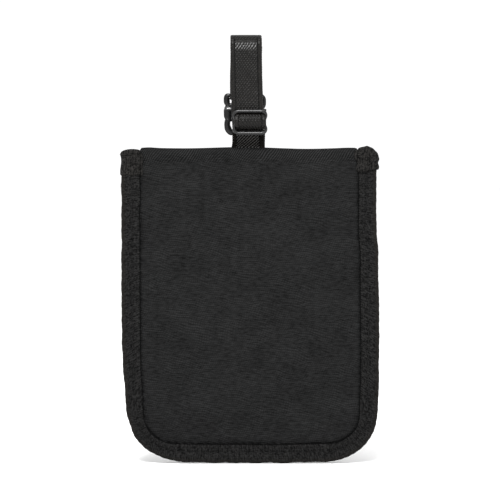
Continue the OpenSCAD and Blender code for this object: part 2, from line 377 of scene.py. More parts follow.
def pouch_cloth(name, level, fold_highlight_v=None):
    """Fine twill of smooth nylon yarn, a little uneven. Given the v of the top fold, it paints a highlight
    on the twill lines there.
    """
    s = Shade(name, 0.6, 0.05)
    sway = s.noise(0.07, 2) * 5.0
    rib = (s.u * 0.2 + s.v + sway).wave(0.86)
    cross = (s.u + s.v * -0.35 - sway).wave(0.93)
    weave = rib * (cross * 0.7 + 0.3)
    slub = s.noise(1.0, 5, (0.4, 1.2, 1), 0.7)
    patch = s.noise(0.13)
    cloud = s.noise(0.05, 4)
    shown = weave * (patch * 1.5 - 0.35)
    mix = shown + slub * 2.1 + cloud * 0.35 - 0.93
    if fold_highlight_v is not None:
        # painted highlight: lighter twill lines along the top fold, where the cloth turns up toward the
        # lamps
        twill = (s.u + s.v * -0.7 + sway).wave(1.0) * 2.0 - 1.25
        mix = mix + twill * (s.v.near(fold_highlight_v, 0.25) * (patch * 1.6))
    s.colour(mix, grey(level * 0.15), grey(level * 1.9, -0.01))
    s.rough(slub, 0.5, 0.75)
    s.bump(shown + slub, 0.16)
    return s.mat


def tape_cloth(name, level, edge_width=0.0, end_u=0.0, slope=0.0, warm=0.015):
    """Grosgrain tape: ribs across its width. Its outer edge, where u is near 0, is lighter and browner.

    end_u is the u of its inner selvedges, where it is darkened with painted shade, as if in its own shadow.
    """
    s = Shade(name, 0.8, 0.05)
    sway = s.noise(0.3) * 2.2
    rib = (s.u * slope + s.v + sway).wave(0.95)
    weave = rib * (s.u.wave(0.8) * 0.6 + 0.4)
    fuzz = s.noise(1.25, 5, rough=0.75)
    shown = weave * (s.noise(0.2) * 1.8 - 0.4)
    pucker = s.noise(0.7, 3, (0.6, 1.2, 1))
    mix = shown + fuzz * 4.6 + pucker * 1.7 - 2.87
    if end_u:
        # painted shade: darker towards the inner selvedges
        mix = mix - ((abs(s.u) - (end_u - 0.45)) * 2.2).positive()
    mixed = s.colour(mix, grey(level * 0.15), grey(level * 1.9, warm))
    if edge_width:
        s.colour(s.u.near(0.0, 1 / edge_width), mixed, grey(level * 1.1, 0.15))
    s.rough(fuzz, 0.7, 0.95)
    s.bump(shown + fuzz * 1.6, 0.28)
    return s.mat


def elastic_cloth(name, level, shine_v=None, bold_v=0.0):
    """Elastic webbing: glossy twilled yarn between two plain ribbed selvedges.

    At shine_v along it the yarn is pulled tight and smooth over a bend. Before bold_v it is
    stretched, so that its lines stand apart and its selvedges are dull.
    """
    gloss = 0.11
    selvedge = STRAP_W / 2 - 1.6
    s = Shade(name, 0.4, gloss)
    off = abs(s.u)
    edge = off.over(selvedge)
    middle = 1.0 - edge
    lines = (s.u + s.v * -0.8 + s.noise(0.12, 2) * 2.0).wave(1.15)
    twill = lines * (s.v.wave(0.8) * 0.5 + 0.5)
    plain = s.v.wave(0.9) * 0.2 + 0.42
    weave = twill * middle + plain * edge
    groove = off.near(selvedge, 2.8)
    fuzz = s.noise(1.4, 5, rough=0.75)
    shown = weave * (s.noise(0.16) * 1.5 - 0.1)
    # groove darkens the line between selvedge and middle: painted shade in a dip that the bump also makes
    mix = shown + fuzz * 2.6 - (groove * 0.6 + 1.12)
    s.colour(mix, grey(level * 0.15, 0.07), grey(level * 1.9, 0.12))
    s.rough(fuzz, 0.2, 0.5)
    if shine_v is not None:
        inside = s.v.near(shine_v, 0.6) * (1.0 - off.over(selvedge - 0.3))
        lit = lines * (fuzz * 1.4 + 0.1)
        crest = lit * lit
        apart = crest * middle * 0.55 - gloss
        stretched = 1.0 - s.v.over(bold_v)
        s.feed("Specular IOR Level", inside * crest * 1.6 + gloss + apart * stretched)
    s.bump(weave * 0.9 + fuzz * 0.6 - groove, 0.2)
    return s.mat


def thread_cloth(name, level):
    """Twisted sewing thread."""
    s = Shade(name, 0.7, 0.12)
    ply = (s.u + s.v * 0.9).wave(0.4)
    s.colour(ply, grey(level * 0.4), grey(level * 1.6))
    s.bump(ply, 0.05)
    return s.mat


def coated(name, level, roughness, specular=0.24):
    """Black coating on metal, with fine orange peel and rubbed spots."""
    s = Shade(name, roughness, specular)
    peel = s.noise(1.1)
    s.colour(s.noise(0.5, 5), grey(level * 0.7), grey(level * 1.5))
    s.rough(peel, roughness * 0.8, roughness * 1.3)
    s.bump(peel, 0.02)
    return s.mat


def coil_plastic(name, level):
    s = Shade(name, 0.35, 0.4)
    grain = s.noise(0.8, 3, (1, 0.2, 1))
    s.colour(grain, grey(level * 0.6), grey(level * 1.5))
    s.rough(grain, 0.28, 0.45)
    s.bump(grain, 0.02)
    return s.mat


CLOTH_LEVEL, ELASTIC_LEVEL = 0.0064, 0.0038
SHINE_V, TAB_V = -6.0, -39.5  # along the webbing from the top of its fold
# the front cloth carries a painted highlight along its top fold, the rear cloth none
cloth_mat = pouch_cloth("pouch_cloth", CLOTH_LEVEL, HINGE_Z - 0.5)
rear_mat = pouch_cloth("pouch_cloth_rear", CLOTH_LEVEL)
lining_mat = pouch_cloth("lining_cloth", 0.03)
tape_mat = tape_cloth("binding_tape", 0.0070, 1.9, TAPE_W)
tape_end_mat = tape_cloth("binding_tape_end", 0.0086, slope=0.3, warm=0.06)
zip_tape_mat = tape_cloth("zip_tape", 0.011)
elastic_mat = elastic_cloth("elastic_webbing", ELASTIC_LEVEL)
fold_mat = elastic_cloth("elastic_webbing_fold", ELASTIC_LEVEL, SHINE_V, TAB_V)
thread_mat = thread_cloth("black_thread", 0.006)
hook_mat = coated("hook_coating", 0.0015, 0.3)
# painted highlight: the shoulder's coating is far lighter than the hook's; its lower roughness is real gloss
shoulder_mat = coated("hook_coating_painted_highlight", 0.02, 0.14)
adjuster_mat = coated("adjuster_coating", 0.006, 0.27, specular=0.29)
zip_metal_mat = coated("zip_coating", 0.012, 0.28)
coil_mat = coil_plastic("zip_coil_plastic", 0.010)


# ---------- the pouch's outline ----------

LEFT_R, RIGHT_R = 24.4, 21.2  # the hand-sewn corners differ a little
INNER_R_LEFT, INNER_R_RIGHT = 13.5, 12.5
BOTTOM_BOW = 0.35  # the bottom edge is this much lower at its middle
CORNER_POINTS, STATIONS = 44, 460  # points round a corner, and round the whole binding
TURN_TRAVEL = 30  # a radian of turning counts as this many mm of travel


def side_drift(z):
    """How far the left and right edges stand in from the CAD outline at height z."""
    left = 0.15 + 0.5 * smooth((-105 - z) / 30)
    left += 1.0 * smooth((-124 - z) / 18) * (1 - smooth((-146 - z) / 11))
    right = 1.05 - 0.8 * smooth((-70 - z) / 14) - 0.4 * smooth((-90 - z) / 12)
    right += 0.45 * bump(z, -144, 7)
    return left, right


def warp(x, z):
    """Bends the regular outline to the sewn pouch's."""
    left, right = side_drift(z)
    reach = np.abs(x)
    drift = np.where(x < 0, -left, right) * (reach / HALF_W) ** 2
    lift = BOTTOM_BOW * smooth((reach - 12) / 20) * (1 - smooth((reach - 34) / 11))
    return x - drift, z + lift * smooth((BOTTOM + 40 - z) / 40)


def sewn(x, y, z):
    """Points of the pouch, bent to its sewn outline."""
    x, z = warp(x, z)
    return xyz(x, y, z)


def straight(start, end, last=False, step=0.8):
    """Points about a step apart from start to end, which is left out unless last is set."""
    count = int(math.dist(start, end) / step)
    return np.linspace(start, end, count + last, endpoint=last)


def outline(inset, r_left, r_right):
    """Points from the left top, down, round the bottom and up to the right top."""
    half, low = HALF_W - inset, BOTTOM + inset
    left_c, right_c = (-half + r_left, low + r_left), (half - r_right, low + r_right)
    return np.concatenate([
        straight((-half, BIND_TOP), (-half, left_c[1])),
        arc(left_c, r_left, 180, 270, CORNER_POINTS)[:-1],
        straight((left_c[0], low), (right_c[0], low)),
        arc(right_c, r_right, 270, 360, CORNER_POINTS)[:-1],
        straight((half, right_c[1]), (half, BIND_TOP), last=True)])


def paced(line):
    """An outline with its points spaced by travel and turning together, so that two of them match up."""
    step = np.gradient(line, axis=0)
    angle = np.unwrap(np.arctan2(step[:, 1], step[:, 0]))
    key = angle * TURN_TRAVEL + lengths(line)
    return read_line(line, (key - key[0]) / (key[-1] - key[0]), np.linspace(0, 1, STATIONS))


# ---------- binding ----------

outer_line = paced(outline(0.0, LEFT_R, RIGHT_R))
inner_line = paced(outline(TAPE_W, INNER_R_LEFT, INNER_R_RIGHT))
bind_s = lengths(outer_line)
STITCH_SHARE = 0.57  # stitch row, as a share of the tape's width
STITCH_PITCH = 2.9
TAPE_T = 0.5
ROUND_SHARE = 0.16  # share of the tape's width that rounds the outer edge


def stitch_dip(s):
    """How deep the thread pulls the tape in at distance s along the row, 0 to 1."""
    return (0.5 + 0.5 * np.cos(2 * PI * s / STITCH_PITCH)) ** 2


def binding_half_profile(share, s, seed):
    """Half thickness of the binding at a share of its width in from the edge."""
    round_edge = np.sqrt(1 - (1 - np.clip(share / ROUND_SHARE, 0, 1)) ** 2)
    y = 0.25 + (BIND_Y - 0.3) * round_edge
    y = y + 0.12 * bump(share, 0.3, 0.14) + 0.1 * bump(share, 0.84, 0.12)
    y = y - (0.2 + 0.52 * stitch_dip(s)) * bump(share, STITCH_SHARE, 0.07)
    y = y + 0.16 * bump(share, 0.9, 0.06) - 0.3 * smooth((share - 0.95) / 0.05)
    uneven = 0.17 * wobble(share * 7, s, 3.0, seed) + 0.1 * wobble(share * 7, s, 1.2, seed + 4)
    return y + uneven * smooth(share / 0.2)


def make_binding():
    """A closed ring at each station: in over the front, out over the rear, and back inside the tape."""
    share = np.concatenate([np.linspace(0, ROUND_SHARE, 8, endpoint=False), np.linspace(ROUND_SHARE, 1, 26)])
    s = bind_s[:, None]
    ripple = 0.14 * wobble(s, 0, 5.5, 3.0) + 0.05 * np.cos(2 * PI * s / STITCH_PITCH) + 0.08
    inner_wave = 0.12 * wobble(s, 50, 9.0, 5.0)
    shift = ripple * (1 - smooth(share / 0.5)) + inner_wave * smooth((share - 0.6) / 0.4)
    across = (inner_line - outer_line)[:, None]
    flat = outer_line[:, None] + across * share[:, None] + unit(across) * shift[..., None]
    x, z = warp(flat[..., 0], flat[..., 1])
    under_end = 0.5 * smooth(z - (TOP - 10.4)) * smooth(share / 0.2)
    front = xyz(x, under_end - binding_half_profile(share, s, 1.0), z)
    rear = xyz(x, binding_half_profile(share, s, 2.0) - under_end, z)
    inside = share >= 0.12
    through = TAPE_T * OUTWARD
    rings = np.concatenate([front[:, ::-1], rear[:, 1:], (rear - through)[:, inside][:, ::-1],
                            (front + through)[:, inside]], axis=1)
    u = np.concatenate([-share[::-1], share[1:], share[inside][::-1], -share[inside], -share[-1:]])
    tape = loft(rings, bind_s, u * TAPE_W)
    piece("edge_binding_tape", [tape], tape_mat, "edge_binding")


def row_of_stitches(line, up, lift, pitch, length, radius):
    """Stitches along a 3-D line, each a short thread that dives in at both ends."""
    along = lengths(line)
    rise = lift + np.array([-0.3, -0.06, 0.03, 0.03, -0.06, -0.3])
    stitches = []
    for k in range(int(along[-1] / pitch)):
        at = (k + 0.5) * pitch + length * np.array([-0.5, -0.42, -0.2, 0.2, 0.42, 0.5])
        path = read_line(line, along, at) + np.outer(rise, up)
        stitches.append(tube(path, radius, radius * 0.8, up, sides=8))
    return stitches


def make_binding_stitches():
    row = outer_line + (inner_line - outer_line) * STITCH_SHARE
    start, end = np.searchsorted(bind_s, (10.5, bind_s[-1] - 9.2))  # clear of the folded tape ends
    stitches = []
    for side in (-1, 1):
        line = sewn(row[start:end, 0], side * (BIND_Y - 0.22), row[start:end, 1])
        stitches += row_of_stitches(line, side * OUTWARD, 0.0, STITCH_PITCH, 1.9, 0.16)
    piece("binding_lockstitch", stitches, thread_mat, "binding_stitching")


# ---------- cloth panels ----------

CLOTH_T = 0.5
CLOTH_LOW = BOTTOM + PANEL_IN + 0.1


def cloth_rows(z, inset=PANEL_IN, cols=150):
    """A grid over the cloth at heights z, from its left end to its right one, before the warp."""
    z, share = np.meshgrid(z, np.linspace(-1, 1, cols), indexing="ij")
    reach = []
    for corner in (LEFT_R, RIGHT_R):
        drop = np.clip((BOTTOM + corner - z) / (corner - inset), 0, 1)
        reach.append(HALF_W - inset - (corner - inset) * (1 - np.sqrt(1 - drop ** 2)))
    return share * np.where(share < 0, *reach), z


def top_dips(x):
    """Small rises and dips of the top fold, which drops away under the tape ends."""
    return (0.4 * bump(x, -3, 11) - 0.12 * bump(x, -25, 8) - 0.32 * bump(x, 22, 10)
            + 0.25 * bump(x, -39, 3) + 0.15 * bump(x, 38, 4)
            - 1.9 * smooth((-42.0 - x) / 1.2) - 1.7 * smooth((x - 40.9) / 1.6))


def inside_seam(x, z):
    """Distance in from the binding's inner edge, negative under the tape."""
    r = np.where(x < 0, INNER_R_LEFT, INNER_R_RIGHT)
    qx, qz = np.abs(x) - (HALF_W - TAPE_W - r), BOTTOM + TAPE_W + r - z
    return r - np.hypot(np.maximum(qx, 0), np.maximum(qz, 0)) - np.minimum(np.maximum(qx, qz), 0)


def crown(x, z, relief):
    """How far a face stands out of its flat plane: relief is the settled cloth, 0 along the seams."""
    return 0.42 * smooth(inside_seam(x, z) / 2.6) * smooth((TOP - z) / 5) + relief


def seam_groove(x, z):
    """The cloth dives under the edge of the tape, deepest at the needle holes."""
    holes = 0.62 + 0.38 * np.cos(2 * PI * (x + z) / STITCH_PITCH + 0.9 * np.sin(z / 5))
    return 0.85 * holes * (1 - smooth((inside_seam(x, z) + 0.05) / 0.85))


RELIEF_COLS, RELIEF_ROWS = 66, 84
RELIEF_HALF, RELIEF_LOW, RELIEF_HIGH = HALF_W - TAPE_W, BOTTOM + TAPE_W, TOP - 1.0
RELIEF_LIMIT = 0.55  # cap on how far the cloth may stand out
SOLVER_SCALE = 0.01  # one millimetre is 10 mm for the solver
SOLVER_FRAMES = 22
PINNED_IN = 1.4  # the cloth is held this far in from the seam
SOLVER_SETTINGS = {
    "quality": 6, "mass": 0.2, "tension_stiffness": 30, "compression_stiffness": 30,
    "shear_stiffness": 12, "bending_stiffness": 2.5, "air_damping": 4, "shrink_min": -0.006,
    "use_pressure": True, "vertex_group_mass": "pinned"}


def simulate(x, z, seed, push):
    """Cloth simulation of one face, pinned along its edges and slightly slack. Returns its relief."""
    start = 0.05 * wobble(x, z, 18, seed) + 0.03 * wobble(x, z, 7, seed + 2)
    flat = xyz(x, -start, z).reshape(-1, 3) * SOLVER_SCALE
    mesh = bpy.data.meshes.new("settling")
    mesh.from_pydata(flat.tolist(), [], grid_faces(*x.shape))
    cloth = add_object("settling", mesh)
    held = inside_seam(x, z) < PINNED_IN
    held[-1] = True  # the top row
    cloth.vertex_groups.new(name="pinned").add(np.flatnonzero(held).tolist(), 1.0, "ADD")
    solver = cloth.modifiers.new("cloth", "CLOTH")
    for key, value in SOLVER_SETTINGS.items():
        setattr(solver.settings, key, value)
    solver.settings.uniform_pressure_force = push
    solver.settings.effector_weights.gravity = 0
    solver.point_cache.frame_start = 1
    solver.point_cache.frame_end = SOLVER_FRAMES
    for frame_no in range(1, SOLVER_FRAMES + 1):
        bpy.context.scene.frame_set(frame_no)
    shaped = cloth.evaluated_get(bpy.context.evaluated_depsgraph_get()).to_mesh()
    moved = np.empty(x.size * 3)
    shaped.vertices.foreach_get("co", moved)
    bpy.data.objects.remove(cloth)
    bpy.context.scene.frame_set(1)
    return -moved[1::3].reshape(x.shape) / SOLVER_SCALE


def settled_relief(seed, push):
    """How far the cloth of one face stands out, in mm, on a grid from the lower left."""
    x, z = np.meshgrid(np.linspace(-RELIEF_HALF, RELIEF_HALF, RELIEF_COLS),
                       np.linspace(RELIEF_LOW, RELIEF_HIGH, RELIEF_ROWS))
    relief = simulate(x, z, seed, push)
    return RELIEF_LIMIT * np.tanh(relief / RELIEF_LIMIT)


def relief_at(relief, x, z):
    """The relief grid read at x and z, with straight lines between its points."""
    u = np.clip((x + RELIEF_HALF) / (2 * RELIEF_HALF), 0, 1) * (RELIEF_COLS - 1)
    v = np.clip((z - RELIEF_LOW) / (RELIEF_HIGH - RELIEF_LOW), 0, 1) * (RELIEF_ROWS - 1)
    i, j = np.minimum(u.astype(int), RELIEF_COLS - 2), np.minimum(v.astype(int), RELIEF_ROWS - 2)
    fu, fv = u - i, v - j
    return ((relief[j, i] * (1 - fu) + relief[j, i + 1] * fu) * (1 - fv)
            + (relief[j + 1, i] * (1 - fu) + relief[j + 1, i + 1] * fu) * fv)


def front_creases(x, z):
    """Soft folds of the plain face: a long one low on the right, and puckers by the right seam."""
    lean = 7 - 0.06 * (z + 150)
    long_fold = 0.3 * bump(x, lean, 2.4) * smooth((-128 - z) / 14) * smooth((z + 160) / 10)
    pull = 0
    for z0, reach, depth in ((-73, 9, 0.2), (-79, 13, 0.26), (-84, 8, 0.18), (-92, 8, 0.14)):
        pull = pull + depth * bump(z - 0.35 * (x - 40), z0, 1.3) * smooth((x - 42.5 + reach) / reach)
    near_seam = smooth(1 - inside_seam(x, z) / 6)
    return pull + 0.1 * wobble(x * 0.3, z, 2.6, 8.0) * near_seam - long_fold


def thick_sheet(points, toward, thickness, u, v):
    """A closed sheet: the given face, which looks toward, and one more the thickness behind it."""
    rows, cols = points.shape[:2]
    normals = unit(np.cross(np.gradient(points, axis=1), np.gradient(points, axis=0)))
    side = np.where((normals * toward).sum(-1, keepdims=True) < 0, -1, 1)
    ids = np.arange(rows * cols).reshape(rows, cols)
    rim = np.concatenate([ids[0], ids[1:, -1], ids[-1, -2::-1], ids[-2:0:-1, 0]]).tolist()
    n = ids.size
    faces = grid_faces(rows, cols)
    faces += [tuple(n + i for i in face[::-1]) for face in faces]
    faces += [(b, a, n + a, n + b) for a, b in zip(rim, rim[1:] + rim[:1])]
    u, v = (np.broadcast_to(value, ids.shape).ravel() for value in (u, v))
    uv = [(u[i % n], v[i % n]) for face in faces for i in face]
    return np.stack([points, points - normals * side * thickness]), faces, uv


def declare_cloth(length, inset):
    """Works out the length and area of a panel with two rounded lower corners; neither is used."""
    width = 2 * (HALF_W - inset)
    missing = (1 - PI / 4) * ((LEFT_R - inset) ** 2 + (RIGHT_R - inset) ** 2)
    length * MM
    (width * length - missing) * MM * MM


def make_front_panel():
    """Front face, top fold and rear band in one cloth, from the bottom seam to the zip."""
    z_front = np.linspace(CLOTH_LOW, HINGE_Z, 190)
    turn = np.radians(np.linspace(0, 180, 18))[1:-1]
    z_rear = np.linspace(HINGE_Z, REAR_BAND_Z, 20)
    x, z = cloth_rows(z_front)
    relief = relief_at(front_relief, x, z) * smooth((TOP - 1 - z) / 5)
    y_front = seam_groove(x, z) - (FOLD_R + crown(x, z, relief) + front_creases(x, z))
    y_fold = np.outer(-FOLD_R * np.cos(turn), np.ones(x.shape[1]))
    x, z = cloth_rows(z_rear)
    y_rear = FOLD_R + 0.12 * bump(z, REAR_BAND_Z + 0.4, 0.6)
    y_rear += 0.12 * wobble(x, z, 12, 4.0) * smooth((HINGE_Z - z) / 4) * smooth((z - REAR_BAND_Z) / 3)
    x, z = cloth_rows(np.concatenate([z_front, HINGE_Z + FOLD_R * np.sin(turn), z_rear]))
    points = sewn(x, np.vstack([y_front, y_fold, y_rear]), z)
    points[..., 2] += top_dips(points[..., 0]) * smooth((z - HINGE_Z + 8) / 8)
    bend = np.concatenate([np.zeros(len(z_front)), turn, np.full(len(z_rear), PI)])[:, None]
    toward = xyz(0, -np.cos(bend), np.sin(bend))
    over_fold = HINGE_Z + FOLD_R * PI
    v = np.concatenate([z_front, HINGE_Z + FOLD_R * turn, over_fold + HINGE_Z - z_rear])
    cloth = thick_sheet(points, toward, CLOTH_T, points[..., 0], v[:, None])
    obj = piece("front_panel_cloth", [cloth], cloth_mat, "front_panel")
    declare_cloth(v[-1] - BOTTOM - PANEL_IN, PANEL_IN)


def make_rear_panel():
    x, z = cloth_rows(np.linspace(CLOTH_LOW, REAR_PANEL_Z, 160))
    open_edge = smooth((REAR_PANEL_Z - z) / 12)
    y = FOLD_R + crown(x, z, relief_at(rear_relief, x, z)) * open_edge
    y += 0.14 * bump(z, REAR_PANEL_Z - 0.4, 0.6) - seam_groove(x, z)
    points = sewn(x, y, z)
    cloth = thick_sheet(points, OUTWARD, CLOTH_T, points[..., 0], points[..., 2])
    obj = piece("rear_panel_cloth", [cloth], rear_mat, "rear_panel")
    declare_cloth(REAR_PANEL_Z - BOTTOM - PANEL_IN, PANEL_IN)


def make_lining():
    """The inner pocket: a front and a rear sheet, both caught in the binding."""
    inset, thickness = 3.2, 0.2
    low = BOTTOM + inset + 0.1
    for name, y, z_top, side in (("lining_front_cloth", -1.0, HINGE_Z - 1.8, -1),
                                 ("lining_rear_cloth", 0.5, ZIP_Z - 5.5, 1)):
        x, z = cloth_rows(np.linspace(low, z_top, 70), inset, cols=60)
        points = sewn(x, y + 0.06 * wobble(x, z, 14, side), z)
        cloth = thick_sheet(points, side * OUTWARD, thickness, points[..., 0], points[..., 2])
        obj = piece(name, [cloth], lining_mat, "pocket_lining")
        declare_cloth(z_top - low, inset)


# ---------- folded tape ends on the top corners ----------

# Outlines in X and Z, from the left side over the top, and upright ridges as x, width and height.
LEFT_END = [
    (-50.3, -44.6), (-49.4, -43.4), (-47.4, -42.75), (-45, -42.6), (-42.7, -43), (-42.3, -44),
    (-41.4, -44.6), (-41.2, -48), (-41.3, -52.6), (-43.5, -53.1), (-47, -52.9), (-49.8, -52.9),
    (-50.2, -51.1), (-49.85, -48), (-49.9, -46)]
LEFT_CREASES = ((-42.4, 0.3, -0.7), (-43.4, 0.4, 0.25), (-46.8, 0.7, -0.3))
RIGHT_END = [
    (40.1, -46.2), (39.9, -43.8), (40.6, -42.9), (41.5, -42.9), (42.2, -42.1), (44.3, -41.6),
    (45.1, -41.35), (46.2, -41.7), (47.5, -42.3), (48.3, -43.1), (49.3, -44.1), (49.8, -45.6),
    (50, -46.6), (49.55, -47.9), (49.9, -49.2), (49.8, -50.3), (49.1, -50.7), (45.6, -51.2),
    (42.9, -51.7), (41.2, -51.2), (40.7, -50), (41, -47.6)]
RIGHT_CREASES = ((41.4, 0.3, -0.5), (42.3, 0.4, 0.2), (45.9, 0.4, -0.35), (47.2, 0.7, 0.15))


def make_binding_end(name, corners, creases, node, seed):
    """A pillowy folded tape end: rings from the middle of its front, round the rim, to the rear's."""
    half = box_mm(node)[1][1] - 0.1
    edge = smooth_outline(corners, 0.3)
    centre = edge.mean(0)
    shares = np.sin(np.linspace(0, PI / 2, 36)[1:])
    spokes = centre + (edge - centre) * shares[:, None, None]
    x, z = spokes[..., 0], spokes[..., 1]
    puff = 0.3 * wobble(x, z, 3.2, seed) + 0.26 * wobble(x, z, 1.2, seed + 1)
    lean = 0.1 * wobble(x, z, 2, seed + 3)
    for at, width, height in creases:
        puff = puff + height * bump(x + lean, at, width)
    y = (half + puff) * np.sqrt(1 - shares ** 14)[:, None]
    rings = np.concatenate([xyz(x, -y, z), xyz(x, y, z)[-2::-1]])
    middles = xyz(centre[0], np.array([-half, half]), centre[1])
    points = np.concatenate([rings.reshape(-1, 3), middles])
    faces = [(a, d, c, b) for a, b, c, d in grid_faces(len(rings), len(edge), True)]
    count, last = len(edge), (len(rings) - 1) * len(edge)
    for a in range(count):
        b = (a + 1) % count
        faces += [(len(points) - 2, a, b), (len(points) - 1, last + b, last + a)]
    uv = [(points[i, 2], points[i, 0] - 0.3 * points[i, 2]) for face in faces for i in face]
    piece(name, [(points, faces, uv)], tape_end_mat, node)


# ---------- strap ----------

TAB_Y, LEG_BREAK_Z = -0.5, TOP + 4.6  # the sewn tab, and where it turns up into the front leg
LOOP_X, TAB_X = -1.55, -0.8  # middle of the loop and of its sewn tab
INNER_SHIFT = 0.25  # the inner layer lies this much to the right
BOW = 0.03  # how far the front leg stands forward


def webbing(name, path, x, width, thickness, seed, body, node, material=elastic_mat):
    """Webbing along a path in Y and Z. x is its middle, and like width one number or one per point.

    Its v is 0 where the path is highest.
    """
    s = lengths(path)
    step = unit(np.gradient(path, axis=0))
    out = np.stack([-step[:, 1], step[:, 0]], 1)[:, None]
    share = power(np.sin(np.linspace(-PI / 2, PI / 2, 30)), 0.9)
    off = np.abs(share)
    bead = 0.055 * bump(off, 0.88, 0.07) - 0.05 * bump(off, 0.74, 0.03)
    half = (thickness / 2 + bead) * np.sqrt(np.clip(1 - off ** 14, 0, 1))
    picot = 0.05 * np.cos(2 * PI * s / 0.95) + 0.09 * noise_at(s / 4, seed, 1)
    wave = 0.05 * noise_at(s / 3.5, seed, 5)[:, None, None]
    half_width = np.broadcast_to(width, len(s)) / 2 + picot
    across = np.broadcast_to(x, len(s))[:, None] + share * half_width[:, None]
    upper = path[:, None] + out * (wave + half[:, None])
    lower = path[:, None] + out * (wave - half[:, None])
    around = np.concatenate([upper, lower[:, -2:0:-1]], axis=1)
    across = np.concatenate([across, across[:, -2:0:-1]], axis=1)
    ring_u = np.concatenate([share, share[-2:0:-1], share[:1]]) * STRAP_W / 2
    strip = loft(xyz(across, around[..., 0], around[..., 1]), s - s[np.argmax(path[:, 1])], ring_u)
    return piece(name, [strip], material, node, body)


def route(*parts):
    """One evenly spaced path through curves that follow on from each other."""
    return resample(np.concatenate(parts), 0.35)


def loop_x(path):
    """Middle of the loop, which drifts to the right on its way down the front."""
    down = smooth((FOLD_Z - path[:, 1]) / (FOLD_Z - TOP) * 1.05)
    return LOOP_X + (TAB_X - LOOP_X) * down * (path[:, 0] < 0)


def front_leg(radius):
    """The front leg from the slider up: it bows forward a little below the fold."""
    return spline(np.array([-radius, FOLD_Z])
                  + [(0, -17), (-BOW * 0.6, -11.5), (-BOW, -6), (-BOW * 0.55, -2)])


def make_loop():
    """The two layers that run from the pouch up the front and over the top fold."""
    outer = route(
        spline([(TAB_Y, TOP - 1.2), (TAB_Y - 0.1, TOP + 0.8), (-2.6, TOP + 3.3),
                (-OUTER_R, LEG_BREAK_Z + 0.9)]),
        front_leg(OUTER_R),
        arc((0, FOLD_Z), OUTER_R, 168, 0, 30))
    flare = 0.7 * bump(outer[:, 1], TOP, 1.6) + 0.15 * bump(outer[:, 1], -20, 10)
    webbing("strap_outer_webbing", outer, loop_x(outer), STRAP_W + flare, STRAP_T, 1.0,
            "strap", "strap_outer_layer", fold_mat)
    inner = route(
        [(-INNER_R, LEG_BREAK_Z + 1.0)],
        front_leg(INNER_R),
        arc((0, FOLD_Z), INNER_R, 168, 0, 26))
    webbing("strap_inner_webbing", inner, loop_x(inner) + INNER_SHIFT, STRAP_W - 0.2, STRAP_T, 2.0,
            "strap", "strap_inner_layer")


def make_rear_leg():
    """The rear leg passes round the hook's top bar and back up, drifting sideways on its way down."""
    spread_z = HOOK_TOP + 4
    r = HOOK_BAR + 0.05 + STRAP_T / 2
    path = route(
        [(OUTER_R, FOLD_Z)],
        spline([(OUTER_R, FOLD_Z - 1), (OUTER_R, spread_z), (HOOK_Y + r, HOOK_TOP)]),
        arc((HOOK_Y, HOOK_TOP), r, 0, -180, 22)[1:-1],
        spline([(HOOK_Y - r, HOOK_TOP), (INNER_R, spread_z), (INNER_R, FOLD_Z - 1)]),
        [(INNER_R, FOLD_Z)])
    s = lengths(path)
    top_x = LOOP_X + INNER_SHIFT * (s > s[-1] / 2)
    x = top_x + (REAR_X - top_x) * smooth((FOLD_Z - path[:, 1]) / 14)
    leg = webbing("strap_rear_webbing", path, x, STRAP_W, STRAP_T, 3.0, None, "strap_rear_leg")
    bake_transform(leg)


def make_anchor_loop():
    """The short loop sewn into the top fold, which holds the hook's catch bar."""
    r = HOOK_BAR + 0.3 + STRAP_T / 2
    path = route(
        spline([(0.7, TOP - 1.2), (0.75, TOP + 0.9), (HOOK_Y - r, CATCH_Z)]),
        arc((HOOK_Y, CATCH_Z), r, 180, 0, 22)[1:-1],
        spline([(HOOK_Y + r, CATCH_Z), (1.85, TOP + 0.9), (1.75, TOP - 1.4)]))
    webbing("anchor_loop_webbing", path, 0.0, STRAP_W - 0.4, STRAP_T, 4.0, "strap", "anchor_loop")


# ---------- adjuster and hook ----------

def rounded_rect(x0, x1, z0, z1, r):
    """Closed path in X and Z with round corners, resampled evenly."""
    corners = ((x1 - r, z1 - r, 90), (x1 - r, z0 + r, 0), (x0 + r, z0 + r, -90), (x0 + r, z1 - r, 180))
    line = np.concatenate([arc((x, z), r, angle, angle - 90, 14) for x, z, angle in corners])
    return resample(np.vstack([line, line[:1]]), 0.3)[:-1]


def in_plane(line, y):
    """A line in X and Z, stood in the plane at y."""
    return xyz(line[:, 0], y, line[:, 1])


def make_adjuster():
    bar, side = 0.72, 0.48  # half thickness of the end bars and of the sides
    y, depth = (ADJ_BACK + ADJ_FRONT) / 2, (ADJ_BACK - ADJ_FRONT) / 2
    half_w, half_h = HALF_ADJ_W - side, HALF_ADJ_H - bar
    ring = rounded_rect(-half_w, half_w, ADJ_Z - half_h, ADJ_Z + half_h, 1.9)
    off = np.abs(ring[:, 1] - ADJ_Z)
    thick = side + (bar - side) * smooth((np.minimum(off / half_h, 1) - 0.45) / 0.5)
    waist = 0.5 * np.exp(-(off / 1.7) ** 4) * (np.abs(ring[:, 0]) > HALF_ADJ_W - 1.5)
    ring[:, 0] -= np.sign(ring[:, 0]) * waist
    frame_ring = tube(in_plane(ring, y), thick, depth, sides=16, closed=True)
    centre_bar = tube(xyz(np.linspace(-half_w, half_w, 30), y, ADJ_Z), 0.6, 0.6, sides=14)
    piece("adjuster_frame", [frame_ring, centre_bar], adjuster_mat,
          "adjuster_slider", "adjuster")


